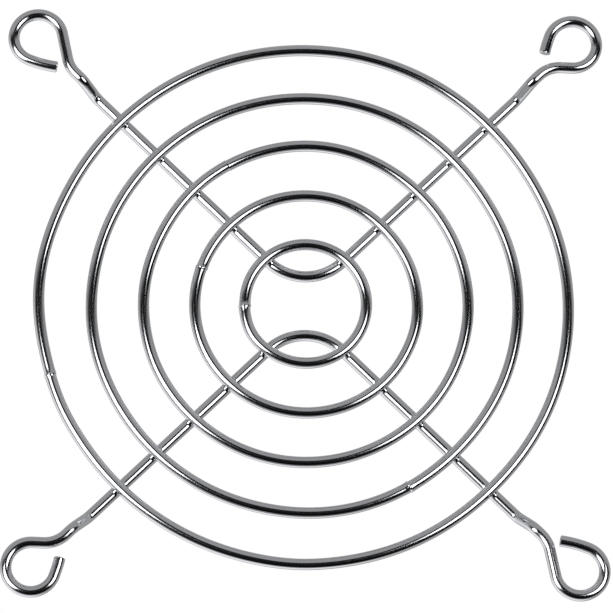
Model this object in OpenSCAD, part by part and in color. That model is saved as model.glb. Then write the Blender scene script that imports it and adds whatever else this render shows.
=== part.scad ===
// Wire finger guard for an 80 mm axial fan.
// Five round wire rings are resistance welded across two V-shaped rib wires,
// and each rib wire ends in two screw eyelets that stand forward of the rings.
//
// Frame: the guard lies on its rib wires, which touch z = 0 with the outer side
// of the guard down. +Z points at the fan, Z is the axis of the rings, and the
// eyelets stand at the corners of a square whose sides run along X and Y.

/* [Wire] */
// Diameter of the wire, the same for rings and ribs
wire_d = 1.5; // [1.2:0.05:1.7]
// Chamfer left by the cutter on the rim of each wire end
end_chamfer = 0.15; // [0.1:0.05:0.3]
// How much the wire's radius shrinks where it is drawn round a bend
bend_thinning = 0.01; // [0.005:0.005:0.03]

/* [Rings] */
// Diameter of the inner ring, measured on the wire's centre line
inner_ring_d = 16.1; // [14:0.1:17]
// Step in radius from one ring to the next
ring_pitch = 6.7; // [6:0.05:7.2]
// Angle from +X at which each ring's butt weld lies, inner ring first
butt_weld_angles = [183, 161, 118, 299, 196];
// Length of the upset that the butt weld leaves along the ring
butt_weld_l = 0.6; // [0.3:0.1:1]
// How far that upset stands proud of the wire
butt_weld_proud = 0.04; // [0.02:0.01:0.08]

/* [Cross welds] */
// How far a ring sinks into a rib as the two are welded
weld_sink = 0.1; // [0.04:0.02:0.2]
// Diameter of the bead squeezed out between the two wires
weld_bead_d = 1.66; // [1.5:0.02:1.9]

/* [Rib wires] */
// Distance from the guard's centre to the rounded tip of each V
rib_tip_offset = 4; // [3:0.25:5]
// Bend radius of that tip
rib_tip_r = 7; // [5:0.25:8]
// Angle between a leg and the X axis
leg_angle = 44; // [43:0.25:45]

/* [Joggles] */
// Height of the eyelets above the legs
joggle_h = 2.65; // [2:0.05:3.2]
// Slope of the joggle
joggle_angle = 45; // [35:1:55]
// Radius of the joggle's two bends
joggle_r = 1.6; // [1.2:0.1:2]
// Straight wire between the joggle and the crank, which sets how far out the joggle lies
lead_l = 0.6; // [0.3:0.1:2]

/* [Eyelets] */
// Distance between neighbouring eyelet centres, the hole spacing of the fan
hole_pitch = 71.5; // [70:0.5:75]
// Inner diameter of an eyelet
eyelet_d = 5; // [4.5:0.1:5.4]
// Radius of the crank, the bend that swings the wire aside before the eyelet
crank_r = 4; // [3:0.25:5]
// Angle of the crank on the left leg of a rib
left_crank_angle = 34; // [30:1:40]
// Angle of the crank on the right leg of a rib
right_crank_angle = 46; // [40:1:48]
// Angle of wire in the eyelet's loop on the left leg
left_loop_angle = 238; // [230:1:245]
// Angle of wire in the eyelet's loop on the right leg
right_loop_angle = 252; // [240:1:256]
// Straight wire between the loop and the tail
tail_lead_l = 0.3; // [0.2:0.1:0.6]
// Bend radius of the tail, which closes the eyelet less tightly than the loop
tail_r = 16; // [12:1:24]
// Length of the tail's bend on the left leg
left_tail_l = 3.2; // [1.5:0.1:3.5]
// Length of the tail's bend on the right leg
right_tail_l = 1.9; // [1:0.1:2.4]

/* [Hidden] */
$fa = 4;
$fs = 0.2;

wire_r = wire_d / 2;
// Each bend's solid runs this far into the straight wire on either side of it.
bend_lap = 0.05;
rib_z = wire_r;
ring_z = rib_z + wire_d - weld_sink;
weld_z = (rib_z + ring_z) / 2;

// The two legs of a V would meet at this height if its tip were sharp.
vertex_y = rib_tip_offset - rib_tip_r * (1 / cos(leg_angle) - 1);
tip_centre_y = rib_tip_offset + rib_tip_r;
// Length from that sharp vertex to the end of the rounded tip
tip_tangent_l = rib_tip_r * tan(leg_angle);

// Straight slope between the joggle's bends, and the joggle's whole run along the leg
slope_l = (joggle_h - 2 * joggle_r * (1 - cos(joggle_angle))) / sin(joggle_angle);
joggle_run = 2 * joggle_r * sin(joggle_angle) + slope_l * cos(joggle_angle);

loop_r = (eyelet_d + wire_d) / 2;
// The eyelet's centre as a leg sees it: along the leg from the vertex, and to its left.
// side is 1 on the right leg and -1 on the left one.
eyelet_along = hole_pitch / 2 * cos(leg_angle) + (hole_pitch / 2 - vertex_y) * sin(leg_angle);
function eyelet_left(side) =
    side * ((hole_pitch / 2 - vertex_y) * cos(leg_angle) - hole_pitch / 2 * sin(leg_angle));
// Straight wire between the crank and the loop, which puts the eyelet on its centre
function shank_l(side, crank_angle) =
    ((crank_r + loop_r) * cos(crank_angle) - crank_r - eyelet_left(side)) / sin(crank_angle);
// How far along the leg the eyelet's centre lies beyond the start of the crank
function crank_run(side, crank_angle) =
    (crank_r + loop_r) * sin(crank_angle) + shank_l(side, crank_angle) * cos(crank_angle);
// Straight wire of a leg, from the rounded tip to the joggle
function leg_l(side, crank_angle) =
    eyelet_along - crank_run(side, crank_angle) - lead_l - joggle_run - tip_tangent_l;

function ring_r(index) = inner_ring_d / 2 + ring_pitch * index;
// Where a ring crosses the right leg of the upper rib, on the straight or on the rounded tip
function crossing_on_leg(radius) =
    -vertex_y * sin(leg_angle) + sqrt(pow(radius, 2) - pow(vertex_y * cos(leg_angle), 2));
function crossing_on_tip_y(radius) =
    (pow(radius, 2) + pow(tip_centre_y, 2) - pow(rib_tip_r, 2)) / (2 * tip_centre_y);
function crossing(radius) =
    crossing_on_leg(radius) > tip_tangent_l
        ? [
            crossing_on_leg(radius) * cos(leg_angle),
            vertex_y + crossing_on_leg(radius) * sin(leg_angle)
        ]
        : [sqrt(pow(radius, 2) - pow(crossing_on_tip_y(radius), 2)), crossing_on_tip_y(radius)];

// Directions in which a wire can be bent, as the roll of the bending plane about the wire
LEFT = 0;
UP = 90;
RIGHT = 180;
DOWN = -90;

// Wire bent to the left round an arc that starts at the origin along +X
module arc(radius, angle) {
    lap_angle = bend_lap / radius * 180 / PI;
    translate([0, radius, 0])
        rotate([0, 0, -90 - lap_angle])
            rotate_extrude(angle = angle + 2 * lap_angle)
                translate([radius, 0])
                    circle(r = wire_r - bend_thinning);
}

// A length of wire that starts at the origin along +X, with its children where it ends
module straight(length) {
    rotate([0, 90, 0])
        cylinder(r = wire_r, h = length);
    translate([length, 0, 0])
        children();
}

module bend(radius, angle, direction) {
    rotate([direction, 0, 0]) {
        arc(radius, angle);
        translate([0, radius, 0])
            rotate([0, 0, angle])
                translate([0, -radius, 0])
                    rotate([-direction, 0, 0])
                        children();
    }
}

module cut_end() {
    straight(end_chamfer)
        rotate([0, 90, 0])
            cylinder(r1 = wire_r, r2 = wire_r - end_chamfer, h = end_chamfer);
}

module joggle() {
    bend(joggle_r, joggle_angle, UP)
        straight(slope_l)
            bend(joggle_r, joggle_angle, DOWN)
                children();
}

module eyelet(side, crank_angle, loop_angle, tail_l) {
    bend(crank_r, crank_angle, RIGHT)
        straight(shank_l(side, crank_angle))
            bend(loop_r, loop_angle, LEFT)
                straight(tail_lead_l)
                    bend(tail_r, tail_l / tail_r * 180 / PI, LEFT)
                        cut_end();
}

// The rounded tip of a rib's V
module tip() {
    translate([0, tip_centre_y, rib_z])
        rotate([0, 0, -leg_angle])
            translate([0, -rib_tip_r, 0])
                arc(rib_tip_r, 2 * leg_angle);
}

// A leg of a rib, from the end of the tip outwards, with its children where it ends
module leg(side, length) {
    translate([0, tip_centre_y, rib_z])
        rotate([0, 0, side * leg_angle])
            translate([0, -rib_tip_r, 0])
                rotate([0, 0, side > 0 ? 0 : 180])
                    straight(length)
                        children();
}

module arm(side, crank_angle, loop_angle, tail_l) {
    leg(side, leg_l(side, crank_angle))
        joggle()
            straight(lead_l)
                eyelet(side, crank_angle, loop_angle, tail_l);
}

module rib_wire() {
    tip();
    arm(1, right_crank_angle, right_loop_angle, right_tail_l);
    arm(-1, left_crank_angle, left_loop_angle, left_tail_l);
}

module upper_rib() {
    color("silver")
        rib_wire();
}

module lower_rib() {
    color("silver")
        rotate([0, 0, 180])
            rib_wire();
}

module weld_beads(radius) {
    for (half_turn = [0, 180], flip = [0, 1])
        rotate([0, 0, half_turn])
            mirror([flip, 0, 0])
                translate([crossing(radius).x, crossing(radius).y, weld_z])
                    sphere(d = weld_bead_d);
}

module ring_wire(radius, butt_weld_angle) {
    butt_weld_arc = butt_weld_l / radius * 180 / PI;
    rotate_extrude()
        translate([radius, ring_z])
            circle(r = wire_r);
    rotate([0, 0, butt_weld_angle - butt_weld_arc / 2])
        rotate_extrude(angle = butt_weld_arc)
            translate([radius, ring_z])
                circle(r = wire_r + butt_weld_proud);
}

// What a ring's seats are cut with: the stretch of a rib that the rings lie on
module seat_wire() {
    tip();
    leg(1, leg_l(1, right_crank_angle));
    leg(-1, leg_l(-1, left_crank_angle));
}

module ring(index) {
    color("silver")
        difference() {
            union() {
                ring_wire(ring_r(index), butt_weld_angles[index]);
                weld_beads(ring_r(index));
            }
            seat_wire();
            rotate([0, 0, 180])
                seat_wire();
        }
}

module inner_ring() {
    ring(0);
}

module second_ring() {
    ring(1);
}

module third_ring() {
    ring(2);
}

module fourth_ring() {
    ring(3);
}

module outer_ring() {
    ring(4);
}

inner_ring();
second_ring();
third_ring();
fourth_ring();
outer_ring();
upper_rib();
lower_rib();
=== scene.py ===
"""Wire finger guard of an 80 mm axial fan: five chromed rings welded across two V-shaped ribs.

The sizes are in metres. The guard lies on its ribs with the side that faces the fan up, in the
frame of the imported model.
"""

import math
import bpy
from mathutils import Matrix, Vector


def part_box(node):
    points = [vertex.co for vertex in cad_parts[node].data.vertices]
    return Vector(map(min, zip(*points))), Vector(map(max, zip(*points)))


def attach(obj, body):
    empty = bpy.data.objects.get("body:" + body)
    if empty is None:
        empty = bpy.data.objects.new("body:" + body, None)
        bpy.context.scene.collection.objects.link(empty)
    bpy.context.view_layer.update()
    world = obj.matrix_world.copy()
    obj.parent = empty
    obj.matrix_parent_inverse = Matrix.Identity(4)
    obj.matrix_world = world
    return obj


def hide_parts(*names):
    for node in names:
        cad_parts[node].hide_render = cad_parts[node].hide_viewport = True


bl_info = {
    "name": "Wire Fan Guard",
    "version": (1, 0, 0),
    "blender": (4, 5, 0),
    "location": "3D View > Sidebar > Fan Guard",
    "description": "Bends the chromed wires of a fan guard and sets up the studio around them",
    "category": "Object",
}

import bpy
import numpy as np
from bpy.props import FloatProperty, FloatVectorProperty, IntProperty, PointerProperty
from mathutils import Matrix, Vector
from mathutils.kdtree import KDTree

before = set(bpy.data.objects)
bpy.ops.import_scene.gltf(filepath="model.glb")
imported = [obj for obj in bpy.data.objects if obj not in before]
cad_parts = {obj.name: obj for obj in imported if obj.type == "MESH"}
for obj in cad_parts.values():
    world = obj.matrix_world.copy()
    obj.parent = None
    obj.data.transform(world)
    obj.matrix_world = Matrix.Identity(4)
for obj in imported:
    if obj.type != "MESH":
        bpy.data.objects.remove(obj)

MM = 0.001
RINGS = ("inner_ring", "second_ring", "third_ring", "fourth_ring", "outer_ring")
RIBS = ("upper_rib", "lower_rib")

# Rolls of the bending plane about the wire
LEFT, UP, RIGHT, DOWN = (math.radians(roll) for roll in (0, 90, 180, -90))

# Each ring's butt weld, inner ring first: its angle from +X in degrees, and how much of it shows
BUTT_WELDS = ((183, 1.0), (161, 0.8), (119, 0.1), (299, 1.0), (196.5, 0.7))

# Where each hand-bent ring runs off its circle: the angle and the half width in degrees, and how
# far out in millimetres
RING_BULGES = (
    ((212, 20, 0.17),),
    ((150, 36, -0.20), (40, 16, -0.10), (350, 12, 0.10)),
    ((86, 20, 0.15), (155, 18, -0.21), (290, 34, -0.11), (0, 14, 0.08), (203, 10, 0.05)),
    ((35, 16, -0.23), (190, 17, 0.20), (318, 22, -0.22), (258, 14, -0.07)),
    ((33, 19, -0.20), (176, 15, 0.42), (203, 8, 0.16), (315, 15, -0.17), (268, 8, 0.08)),
)


# ---------------------------------------------------------------- settings


def length(name, description, default_mm, low_mm=0.0):
    return FloatProperty(
        name=name, description=description, default=default_mm * MM, min=low_mm * MM,
        subtype="DISTANCE", unit="LENGTH", precision=5,
    )


def angle(name, description, degrees):
    return FloatProperty(
        name=name, description=description, default=math.radians(degrees),
        subtype="ANGLE", unit="ROTATION",
    )


def share(name, description, default):
    return FloatProperty(name=name, description=description, default=default, min=0.0, max=1.0, subtype="FACTOR")


def tint(name, description, default):
    return FloatVectorProperty(
        name=name, description=description, default=default, size=3, min=0.0, max=1.0, subtype="COLOR"
    )


class WireSettings(bpy.types.PropertyGroup):
    diameter: length("Diameter", "Diameter of every wire", 1.5)
    sides: IntProperty(name="Sides", description="Faces round a wire", default=40, min=12, max=64)
    step: length("Step", "Longest face along a wire", 0.16, 0.05)
    weld_step: length("Weld step", "Longest face along a wire next to a cross weld", 0.08, 0.03)
    chamfer: length("End chamfer", "Rounding of a cut end's rim", 0.15)


class WeldSettings(bpy.types.PropertyGroup):
    sink: length("Sink", "How far a ring sinks into a rib", 0.1)
    fillet: length("Fillet", "Reach of the smooth metal between a ring and a rib", 0.55)
    upset_length: length("Upset length", "Half length of the thickening at a ring's butt weld", 0.45)
    upset_proud: length("Upset", "How far that thickening stands out", 0.035)
    flash_length: length("Flash length", "Half length of the ridge in the middle of a butt weld", 0.09)
    flash_proud: length("Flash", "How far that ridge stands out", 0.06)
    mismatch: length("Mismatch", "How far apart the ring's two ends lie at the butt weld", 0.07)
    mismatch_reach: length("Mismatch reach", "Length over which the ends come back into line", 2.5)


class RibSettings(bpy.types.PropertyGroup):
    tip_offset: length("Tip offset", "From the guard's centre to the rounded tip of a rib", 4)
    tip_radius: length("Tip radius", "Bend radius of the tip", 7)
    leg_angle: angle("Leg angle", "Angle between a leg and the X axis", 44)
    joggle_height: length("Joggle height", "Height of the eyelets above the legs", 2.65)
    joggle_angle: angle("Joggle angle", "Slope of the joggle", 45)
    joggle_radius: length("Joggle radius", "Radius of the joggle's bends", 1.6)
    lead: length("Lead", "Straight wire between the joggle and the crank", 0.6)


class EyeletSettings(bpy.types.PropertyGroup):
    pitch: length("Pitch", "Distance between neighbouring eyelet centres", 71.5)
    hole: length("Hole", "Inner diameter of an eyelet", 5)
    crank_radius: length("Crank radius", "Radius of the bend that swings the wire aside", 4)
    left_crank: angle("Left crank", "Angle of the crank on a rib's left leg", 34)
    right_crank: angle("Right crank", "Angle of the crank on a rib's right leg", 46)
    left_loop: angle("Left loop", "Angle of wire in the loop on a rib's left leg", 238)
    right_loop: angle("Right loop", "Angle of wire in the loop on a rib's right leg", 252)
    tail_lead: length("Tail lead", "Straight wire between the loop and the tail", 0.3)
    tail_radius: length("Tail radius", "Bend radius of the tail", 16)
    left_tail: length("Left tail", "Length of the tail's bend on a rib's left leg", 3.2)
    right_tail: length("Right tail", "Length of the tail's bend on a rib's right leg", 1.9)


class ChromeSettings(bpy.types.PropertyGroup):
    color: tint("Chrome", "Colour of clean plating", (0.50, 0.505, 0.515))
    dull_color: tint("Dull chrome", "Colour where the plating is thin", (0.42, 0.425, 0.43))
    grazing: tint("Grazing tint", "Tint of the reflection at a grazing angle", (0.5, 0.5, 0.51))
    roughness: share("Roughness", "Roughness of clean plating", 0.04)
    dull_roughness: share("Dull roughness", "Roughness where the plating is dull", 0.09)
    draw_marks: length("Draw marks", "Depth of the marks that the drawing die leaves", 0.0015)


class StageSettings(bpy.types.PropertyGroup):
    azimuth: angle("Azimuth", "Direction of the camera round the guard", -10.43)
    elevation: angle("Elevation", "Height of the camera above the horizon", 76.48)
    distance: length("Distance", "From the camera to the middle of the rings", 577.55)
    aim_right: length("Aim right", "How far right of the middle the camera aims", 0.106, -50)
    aim_up: length("Aim up", "How far above the middle the camera aims", -0.366, -50)
    lens: FloatProperty(name="Lens", description="Focal length in millimetres", default=256.6, min=1.0)
    floor_radius: length("Floor radius", "Radius of the floor", 3000)
    floor_color: tint("Floor", "Colour of the floor", (0.9, 0.9, 0.9))
    floor_in_metal: share("Floor in metal", "Brightness of the floor where the metal mirrors it", 0.7)
    wall_color: tint("Walls", "Light of the tent's walls", (0.36, 0.36, 0.365))
    lamp_distance: length("Lamp distance", "From a softbox to the guard", 600)


# ---------------------------------------------------------------- wire paths


class WirePath:
    """The centre line of a wire, bent step by step. The wire runs along the place's own +X."""

    def __init__(self, place, step):
        self.place = place
        self.step = step
        self.points = [place.translation.copy()]

    def _run(self, reach, place_at):
        count = max(1, math.ceil(reach / self.step))
        start = self.place
        for index in range(1, count + 1):
            self.place = start @ place_at(index / count)
            self.points.append(self.place.translation.copy())
        return self

    def straight(self, reach):
        return self._run(reach, lambda part: Matrix.Translation((reach * part, 0, 0)))

    def bend(self, radius, turn, roll):
        roll_in, roll_out = Matrix.Rotation(roll, 4, "X"), Matrix.Rotation(-roll, 4, "X")
        out, back = Matrix.Translation((0, radius, 0)), Matrix.Translation((0, -radius, 0))
        return self._run(
            radius * turn,
            lambda part: roll_in @ out @ Matrix.Rotation(turn * part, 4, "Z") @ back @ roll_out,
        )


def leg_path(side, step):
    """One leg of the upper rib, from the middle of the rounded tip to the wire's end."""
    wire, rib, eye = settings("wire"), settings("rib"), settings("eyelet")
    crank, loop, tail = (
        (eye.right_crank, eye.right_loop, eye.right_tail)
        if side > 0
        else (eye.left_crank, eye.left_loop, eye.left_tail)
    )
    turn = rib.leg_angle
    vertex = rib.tip_offset - rib.tip_radius * (1 / math.cos(turn) - 1)
    loop_radius = (eye.hole + wire.diameter) / 2
    half = eye.pitch / 2
    eye_along = half * math.cos(turn) + (half - vertex) * math.sin(turn)
    eye_left = side * ((half - vertex) * math.cos(turn) - half * math.sin(turn))
    reach = eye.crank_radius + loop_radius
    shank = (reach * math.cos(crank) - eye.crank_radius - eye_left) / math.sin(crank)
    crank_run = reach * math.sin(crank) + shank * math.cos(crank)
    rise = rib.joggle_height - 2 * rib.joggle_radius * (1 - math.cos(rib.joggle_angle))
    slope = rise / math.sin(rib.joggle_angle)
    joggle_run = 2 * rib.joggle_radius * math.sin(rib.joggle_angle) + slope * math.cos(rib.joggle_angle)
    leg = eye_along - crank_run - rib.lead - joggle_run - rib.tip_radius * math.tan(turn)

    start = Matrix.Translation((0, rib.tip_offset, wire.diameter / 2))
    if side < 0:
        start = start @ Matrix.Rotation(math.pi, 4, "Z")
    path = WirePath(start, step)
    path.bend(rib.tip_radius, turn, LEFT if side > 0 else RIGHT).straight(leg)
    path.bend(rib.joggle_radius, rib.joggle_angle, UP).straight(slope)
    path.bend(rib.joggle_radius, rib.joggle_angle, DOWN).straight(rib.lead)
    path.bend(eye.crank_radius, crank, RIGHT).straight(shank)
    path.bend(loop_radius, loop, LEFT).straight(eye.tail_lead)
    path.bend(eye.tail_radius, tail / eye.tail_radius, LEFT).straight(2 * wire.chamfer)
    return np.array(path.points)


def rib_line(node):
    """The centre line of a rib, from the end of its left leg to the end of its right leg."""
    step = settings("wire").weld_step * 1.5
    line = np.vstack([leg_path(-1, step)[:0:-1], leg_path(1, step)])
    return line if node == "upper_rib" else line * (-1, -1, 1)


def ring_radius(node):
    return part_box(node)[1].y - settings("wire").diameter / 2


def ring_height():
    return 1.5 * settings("wire").diameter - settings("weld").sink


def ring_angles(index, radius):
    """Angles of a ring's stations: closer together at the butt weld and at the cross welds."""
    wire, weld = settings("wire"), settings("weld")
    butt = math.radians(BUTT_WELDS[index][0])
    fine = weld.flash_length / 4
    angles, travelled = [], 0.0
    while travelled < 2 * math.pi:
        angles.append(butt + travelled)
        from_butt = min(travelled, 2 * math.pi - travelled) * radius
        to_leg = abs((butt + travelled) % (math.pi / 2) - math.pi / 4) * radius
        if from_butt < 2 * weld.upset_length:
            step = fine
        elif to_leg < 3 * wire.diameter:
            step = wire.weld_step
        else:
            step = wire.step
        travelled += step / radius
    return np.array(angles)


def around(angles, middle):
    """Angles as turns either way from a middle angle."""
    return (angles - middle + math.pi) % (2 * math.pi) - math.pi


def ring_line(node):
    """The centre line of a ring and each station's signed distance from the butt weld."""
    weld = settings("weld")
    index, radius = RINGS.index(node), ring_radius(node)
    angles = ring_angles(index, radius)
    butt = math.radians(BUTT_WELDS[index][0])
    from_butt = around(angles, butt) * radius
    side = np.where(from_butt >= 0, 1.0, -1.0)
    reach = radius + side * weld.mismatch / 2 * np.exp(-np.abs(from_butt) / weld.mismatch_reach)
    for at, width, proud in RING_BULGES[index]:
        from_bulge = around(angles, math.radians(at)) / math.radians(width)
        reach += proud * MM * np.exp(-from_bulge ** 2)
    line = np.column_stack(
        [reach * np.cos(angles), reach * np.sin(angles), np.full(len(angles), ring_height())]
    )
    return line, from_butt


# ---------------------------------------------------------------- wire meshes


def station_frames(line, closed):
    """Tangent, side and top directions at each point of a line, carried along without twist."""
    if closed:
        ahead, behind = np.roll(line, -1, axis=0), np.roll(line, 1, axis=0)
    else:
        ahead = np.vstack([line[1:], 2 * line[-1:] - line[-2:-1]])
        behind = np.vstack([2 * line[:1] - line[1:2], line[:-1]])
    tangents = ahead - behind
    tangents /= np.linalg.norm(tangents, axis=1, keepdims=True)
    top = np.array([0.0, 0.0, 1.0])
    tops = np.empty_like(tangents)
    for index, tangent in enumerate(tangents):
        top = top - tangent * top.dot(tangent)
        top /= np.linalg.norm(top)
        tops[index] = top
    return tangents, np.cross(tops, tangents), tops


def search_tree(lines):
    """A search tree over the centre lines of other wires."""
    points = np.vstack(lines)
    tree = KDTree(len(points))
    for index, point in enumerate(points):
        tree.insert(point, index)
    tree.balance()
    return tree


def raise_fillet(point, outward, tree, radius, reach):
    """Moves a point of a wire's skin out to the smooth metal that joins it to the nearest wire."""
    lift = 0.0
    for _ in range(5):
        gap = tree.find(point + outward * lift)[2] - radius
        if gap > reach:
            break
        overlap = max(reach - abs(lift - gap), 0.0) / reach
        level = min(lift, gap) - overlap ** 2 * reach / 4
        lift = min(max(lift - level, 0.0), reach / 3)
    return point + outward * lift


def wire_mesh(name, line, radii, closed, tree):
    """A tube along a centre line, with fillets at the other wires and its own place along the wire."""
    wire, weld = settings("wire"), settings("weld")
    radius, sides = wire.diameter / 2, wire.sides
    _, side_ways, tops = station_frames(line, closed)
    turns = 2 * math.pi * np.arange(sides) / sides - math.pi / 2
    outward = np.cos(turns)[None, :, None] * side_ways[:, None] + np.sin(turns)[None, :, None] * tops[:, None]
    skin = line[:, None] + radii[:, None, None] * outward

    near = radius + weld.fillet * 2
    for index, centre in enumerate(line):
        if tree.find(centre)[2] < 2 * radius + near:
            for side in range(sides):
                skin[index, side] = raise_fillet(
                    Vector(skin[index, side]), Vector(outward[index, side]), tree, radius, weld.fillet
                )

    count = len(line)
    faces = []
    for index in range(count if closed else count - 1):
        here, there = index * sides, (index + 1) % count * sides
        for side in range(sides):
            other = (side + 1) % sides
            faces.append((here + side, here + other, there + other, there + side))
    if not closed:
        faces.append(tuple(range(sides))[::-1])
        faces.append(tuple(range((count - 1) * sides, count * sides)))
    mesh = bpy.data.meshes.new(name)
    mesh.from_pydata(skin.reshape(-1, 3).tolist(), [], faces)

    steps = np.linalg.norm(np.diff(line, axis=0), axis=1)
    travelled = np.concatenate([[0.0], np.cumsum(steps)])
    place = np.empty((count, sides, 3))
    place[..., 0] = np.cos(turns) * radius
    place[..., 1] = np.sin(turns) * radius
    place[..., 2] = travelled[:, None]
    layer = mesh.attributes.new("wire_place", "FLOAT_VECTOR", "POINT")
    layer.data.foreach_set("vector", (place / MM).astype(np.float32).ravel())
    mesh.shade_smooth()
    mesh.set_sharp_from_angle(angle=math.radians(35))
    mesh.validate()
    return mesh


def add_wire(context, node, mesh, material):
    """Puts a wire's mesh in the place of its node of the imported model."""
    mesh.materials.append(material)
    piece = bpy.data.objects.new(f"{node}_wire", mesh)
    context.scene.collection.objects.link(piece)
    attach(piece, "root")
    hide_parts(node)


# ---------------------------------------------------------------- shaders


class Value:
    """A socket whose operators add the nodes that work out an expression."""

    def __init__(self, tree, socket):
        self.tree, self.socket = tree, socket

    def _math(self, operation, *inputs):
        return self.tree.node("ShaderNodeMath", {"operation": operation}, dict(enumerate(inputs)))

    def __add__(self, other):
        return self._math("ADD", self, other)

    def __radd__(self, other):
        return self._math("ADD", other, self)

    def __sub__(self, other):
        return self._math("SUBTRACT", self, other)

    def __rsub__(self, other):
        return self._math("SUBTRACT", other, self)

    def __mul__(self, other):
        return self._math("MULTIPLY", self, other)

    def __rmul__(self, other):
        return self._math("MULTIPLY", other, self)

    def __truediv__(self, other):
        return self._math("DIVIDE", self, other)

    def __neg__(self):
        return self._math("MULTIPLY", self, -1.0)

    def __abs__(self):
        return self._math("ABSOLUTE", self)

    def __pow__(self, other):
        return self._math("POWER", self, other)

    def clipped(self):
        return self._math("MAXIMUM", self._math("MINIMUM", self, 1.0), 0.0)

    def larger(self, other):
        return self._math("MAXIMUM", self, other)


class Shader:
    """The node tree of a material or world."""

    def __init__(self, owner):
        owner.use_nodes = True
        self.tree = owner.node_tree
        self.tree.nodes.clear()

    def node(self, kind, settings_=None, inputs=None, output=0):
        made = self.tree.nodes.new(kind)
        for name, value in (settings_ or {}).items():
            setattr(made, name, value)
        for name, value in (inputs or {}).items():
            if isinstance(value, Value):
                self.tree.links.new(value.socket, made.inputs[name])
            else:
                made.inputs[name].default_value = value
        return Value(self, made.outputs[output]) if made.outputs else None

    def split(self, vector):
        made = self.tree.nodes.new("ShaderNodeSeparateXYZ")
        self.tree.links.new(vector.socket, made.inputs[0])
        return tuple(Value(self, socket) for socket in made.outputs)

    def smooth(self, value, low, high):
        """0 below low and 1 above high, with a soft step between."""
        return self.node(
            "ShaderNodeMapRange", {"interpolation_type": "SMOOTHSTEP"},
            {"Value": value, "From Min": low, "From Max": high},
        )

    def mix(self, factor, first, second):
        return self.node(
            "ShaderNodeMix", {"data_type": "RGBA"},
            {0: factor, 6: color_of(first), 7: color_of(second)}, output=2,
        )


def color_of(value):
    return value if isinstance(value, Value) else (*value, 1.0)


def chrome():
    """Bright nickel-chrome on drawn wire: faint marks along the wire and slightly dull patches."""
    look = settings("chrome")
    material = bpy.data.materials.new("chromed_wire")
    shader = Shader(material)
    place = shader.node("ShaderNodeAttribute", {"attribute_name": "wire_place"}, output=1)

    def noise(stretch, scale, detail):
        moved = shader.node(
            "ShaderNodeVectorMath", {"operation": "MULTIPLY"}, {0: place, 1: (1.0, 1.0, stretch)}
        )
        return shader.node(
            "ShaderNodeTexNoise", None, {"Vector": moved, "Scale": scale, "Detail": detail}
        )

    marks = noise(0.03, 9.0, 3.0)
    patches = shader.smooth(noise(0.35, 0.9, 4.0), 0.5, 0.72)
    specks = shader.smooth(noise(1.0, 5.0, 2.0), 0.68, 0.76)
    dull = (patches * 0.6 + specks * 0.5).clipped()
    color = shader.mix(dull, tuple(look.color), tuple(look.dull_color))
    roughness = look.roughness + dull * (look.dull_roughness - look.roughness)
    bump = shader.node(
        "ShaderNodeBump", None,
        {"Strength": 1.0, "Distance": look.draw_marks, "Height": marks + specks * 0.4},
    )
    metal = shader.node(
        "ShaderNodeBsdfPrincipled", None,
        {
            "Base Color": color, "Metallic": 1.0, "Roughness": roughness,
            "Specular Tint": color_of(tuple(look.grazing)), "Normal": bump,
        },
    )
    shader.node("ShaderNodeOutputMaterial", None, {"Surface": metal})
    return material


def white_floor():
    """A pale floor that the camera sees as plain white, and glossy and transmission rays as a glow at the
    floor-in-metal brightness.
    """
    stage = settings("stage")
    material = bpy.data.materials.new("floor")
    shader = Shader(material)
    rays = "ShaderNodeLightPath"
    camera = shader.node(rays, output="Is Camera Ray")
    mirror = shader.node(rays, output="Is Glossy Ray").larger(
        shader.node(rays, output="Is Transmission Ray")
    )
    matt = shader.node("ShaderNodeBsdfDiffuse", None, {"Color": color_of(tuple(stage.floor_color))})
    strength = camera + (1.0 - camera) * stage.floor_in_metal
    glow = shader.node("ShaderNodeEmission", None, {"Color": (1, 1, 1, 1), "Strength": strength})
    both = shader.node("ShaderNodeMixShader", None, {0: camera.larger(mirror), 1: matt, 2: glow})
    shader.node("ShaderNodeOutputMaterial", None, {"Surface": both})
    return material


# ---------------------------------------------------------------- stage


def camera_axes():
    """Right, up and back directions of the camera, with +Y up in the picture."""
    stage = settings("stage")
    back = Vector((
        math.sin(stage.azimuth) * math.cos(stage.elevation),
        -math.cos(stage.azimuth) * math.cos(stage.elevation),
        math.sin(stage.elevation),
    ))
    right = Vector((0, 1, 0)).cross(back).normalized()
    return right, back.cross(right), back


def add_camera(context):
    stage = settings("stage")
    right, up, back = camera_axes()
    middle = Vector((0, 0, ring_height()))
    place = middle + back * stage.distance
    aim = middle + right * stage.aim_right + up * stage.aim_up
    data = bpy.data.cameras.new("camera")
    data.lens = stage.lens
    data.clip_start, data.clip_end = 0.01, 20.0
    camera = bpy.data.objects.new("camera", data)
    away = (place - aim).normalized()
    across = Vector((0, 1, 0)).cross(away).normalized()
    turn = Matrix((across, away.cross(across), away)).transposed()
    camera.matrix_world = Matrix.Translation(place) @ turn.to_4x4()
    context.scene.collection.objects.link(camera)
    context.scene.camera = camera


def add_floor(context):
    stage = settings("stage")
    corners = 96
    around = [2 * math.pi * index / corners for index in range(corners)]
    rim = [(stage.floor_radius * math.cos(a), stage.floor_radius * math.sin(a), 0.0) for a in around]
    mesh = bpy.data.meshes.new("floor")
    mesh.from_pydata(rim, [], [tuple(range(corners))])
    mesh.materials.append(white_floor())
    floor = bpy.data.objects.new("floor", mesh)
    floor.visible_glossy = False
    context.scene.collection.objects.link(floor)


def overhead():
    """What the level top of a wire mirrors to the camera: the camera's direction, turned half round."""
    _, _, back = camera_axes()
    return Vector((-back.x, -back.y, back.z))


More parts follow.
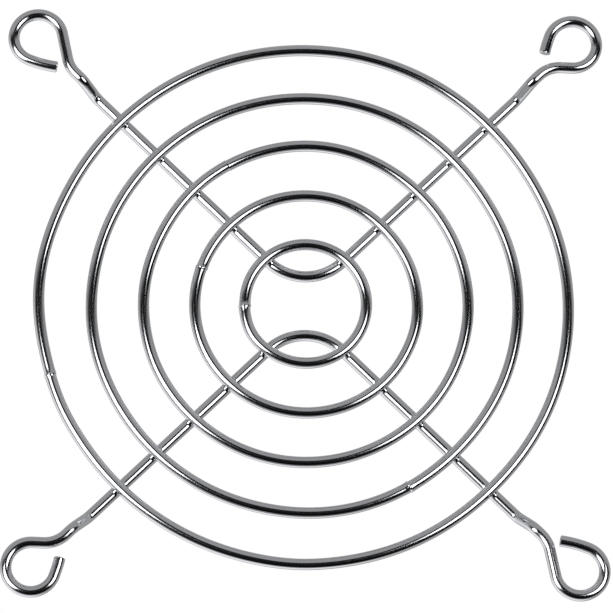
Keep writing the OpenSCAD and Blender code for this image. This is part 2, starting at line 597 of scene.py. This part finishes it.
def mirrored(tilt, bearing):
    """What a wire's skin mirrors to the camera where it leans by a tilt towards a bearing."""
    _, _, back = camera_axes()
    skin = Vector((
        math.sin(tilt) * math.cos(bearing), math.sin(tilt) * math.sin(bearing), math.cos(tilt)
    ))
    return 2 * skin.dot(back) * skin - back


def add_softbox(context, name, tilt, bearing, reach, width, radiance):
    """An oval lamp that faces the guard, its long side in line with the overhead direction."""
    stage = settings("stage")
    data = bpy.data.lights.new(name, "AREA")
    data.shape = "ELLIPSE"
    data.size = 2 * stage.lamp_distance * math.tan(reach)
    data.size_y = 2 * stage.lamp_distance * math.tan(width)
    data.energy = radiance * math.pi * data.size * data.size_y * math.pi / 4
    back = mirrored(tilt, bearing)
    across = back.cross(overhead()).normalized()
    lamp = bpy.data.objects.new(name, data)
    turn = Matrix((across.cross(back), across, back)).transposed()
    lamp.matrix_world = Matrix.Translation(back * stage.lamp_distance) @ turn.to_4x4()
    context.scene.collection.objects.link(lamp)


def add_tent(context):
    """The walls round the guard: pale behind it and low down, dark towards the camera."""
    stage = settings("stage")
    world = bpy.data.worlds.new("tent")
    shader = Shader(world)
    x, y, z = shader.split(shader.node("ShaderNodeTexCoord", None, None, "Generated"))
    top = overhead()
    across = x - z * (top.x / top.z)
    ahead = y - z * (top.y / top.z)
    front = shader.smooth(-ahead, -0.15, -0.09) * shader.smooth(z + x * 0.2, 0.12, 0.36)
    gaps = shader.smooth(abs(across) * 0.3 - abs(ahead), -0.08, 0.06) * shader.smooth(z, 0.05, 0.4)
    walls = (1.0 - front * 0.99) * (1.0 - gaps * 0.66)
    near = shader.smooth(x * -0.6 + y * -0.8, 0.2, 0.8)
    floor = 1.1 + near * 1.8
    low = shader.smooth(-z, -0.01, 0.06)
    light = walls + low * (floor - walls)
    sky = shader.node(
        "ShaderNodeBackground", None, {"Color": color_of(tuple(stage.wall_color)), "Strength": light}
    )
    shader.node("ShaderNodeOutputWorld", None, {"Surface": sky})
    context.scene.world = world


# ---------------------------------------------------------------- operators


class GUARD_OT_rings(bpy.types.Operator):
    """Bend the five rings, with their butt welds and the fillets of their cross welds"""

    bl_idname = "guard.rings"
    bl_label = "Rings"

    def execute(self, context):
        weld, radius = settings("weld"), settings("wire").diameter / 2
        tree = search_tree([rib_line(node) for node in RIBS])
        for node, (_, shown) in zip(RINGS, BUTT_WELDS):
            line, from_butt = ring_line(node)
            upset = weld.upset_proud * np.exp(-(from_butt / weld.upset_length) ** 2)
            flash = weld.flash_proud * np.exp(-(from_butt / weld.flash_length) ** 2)
            mesh = wire_mesh(node, line, radius + shown * (upset + flash), True, tree)
            add_wire(context, node, mesh, finish("chromed_wire"))
        return {"FINISHED"}


class GUARD_OT_ribs(bpy.types.Operator):
    """Bend the two rib wires, with their joggles, cranks and screw eyelets"""

    bl_idname = "guard.ribs"
    bl_label = "Rib wires"

    def execute(self, context):
        wire = settings("wire")
        tree = search_tree([ring_line(node)[0] for node in RINGS])
        for node in RIBS:
            line = rib_line(node)
            steps = np.linalg.norm(np.diff(line, axis=0), axis=1)
            from_left = np.concatenate([[0.0], np.cumsum(steps)])
            from_end = np.minimum(from_left, from_left[-1] - from_left)
            short = np.clip(1 - from_end / wire.chamfer, 0, 1)
            radii = wire.diameter / 2 - wire.chamfer * (1 - np.sqrt(1 - short ** 2))
            add_wire(context, node, wire_mesh(node, line, radii, False, tree), finish("chromed_wire"))
        return {"FINISHED"}


class GUARD_OT_stage(bpy.types.Operator):
    """Set up the floor, the tent, the softboxes and the camera"""

    bl_idname = "guard.stage"
    bl_label = "Stage"

    def execute(self, context):
        add_camera(context)
        add_floor(context)
        add_tent(context)
        degree = math.radians(1)
        add_softbox(context, "left_softbox", 23.5 * degree, 215 * degree, 26.5 * degree, 16 * degree, 2.6)
        add_softbox(context, "right_softbox", 18.3 * degree, 321.5 * degree, 21.5 * degree, 15 * degree, 2.6)
        context.scene.view_settings.view_transform = "Standard"
        return {"FINISHED"}


class GUARD_PT_panel(bpy.types.Panel):
    """Settings and steps of the fan guard"""

    bl_idname = "GUARD_PT_panel"
    bl_label = "Fan Guard"
    bl_space_type = "VIEW_3D"
    bl_region_type = "UI"
    bl_category = "Fan Guard"

    def draw(self, context):
        layout = self.layout
        for name, group in SETTINGS.items():
            box = layout.box()
            box.label(text=name.capitalize())
            for field in group.__annotations__:
                box.prop(getattr(context.scene, f"guard_{name}"), field)
        for step in STEPS:
            layout.operator(step.bl_idname)


SETTINGS = {
    "wire": WireSettings,
    "weld": WeldSettings,
    "rib": RibSettings,
    "eyelet": EyeletSettings,
    "chrome": ChromeSettings,
    "stage": StageSettings,
}
STEPS = (GUARD_OT_rings, GUARD_OT_ribs, GUARD_OT_stage)
CLASSES = (*SETTINGS.values(), *STEPS, GUARD_PT_panel)


def settings(name):
    return getattr(bpy.context.scene, f"guard_{name}")


def finish(name):
    """The guard's one finish, made when it is first asked for."""
    return bpy.data.materials.get(name) or chrome()


def register():
    for cls in CLASSES:
        bpy.utils.register_class(cls)
    for name, group in SETTINGS.items():
        setattr(bpy.types.Scene, f"guard_{name}", PointerProperty(type=group))


def unregister():
    for name in SETTINGS:
        delattr(bpy.types.Scene, f"guard_{name}")
    for cls in reversed(CLASSES):
        bpy.utils.unregister_class(cls)


def main():
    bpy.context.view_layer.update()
    register()
    bpy.ops.guard.rings()
    bpy.ops.guard.ribs()
    bpy.ops.guard.stage()


if __name__ == "__main__":
    main()
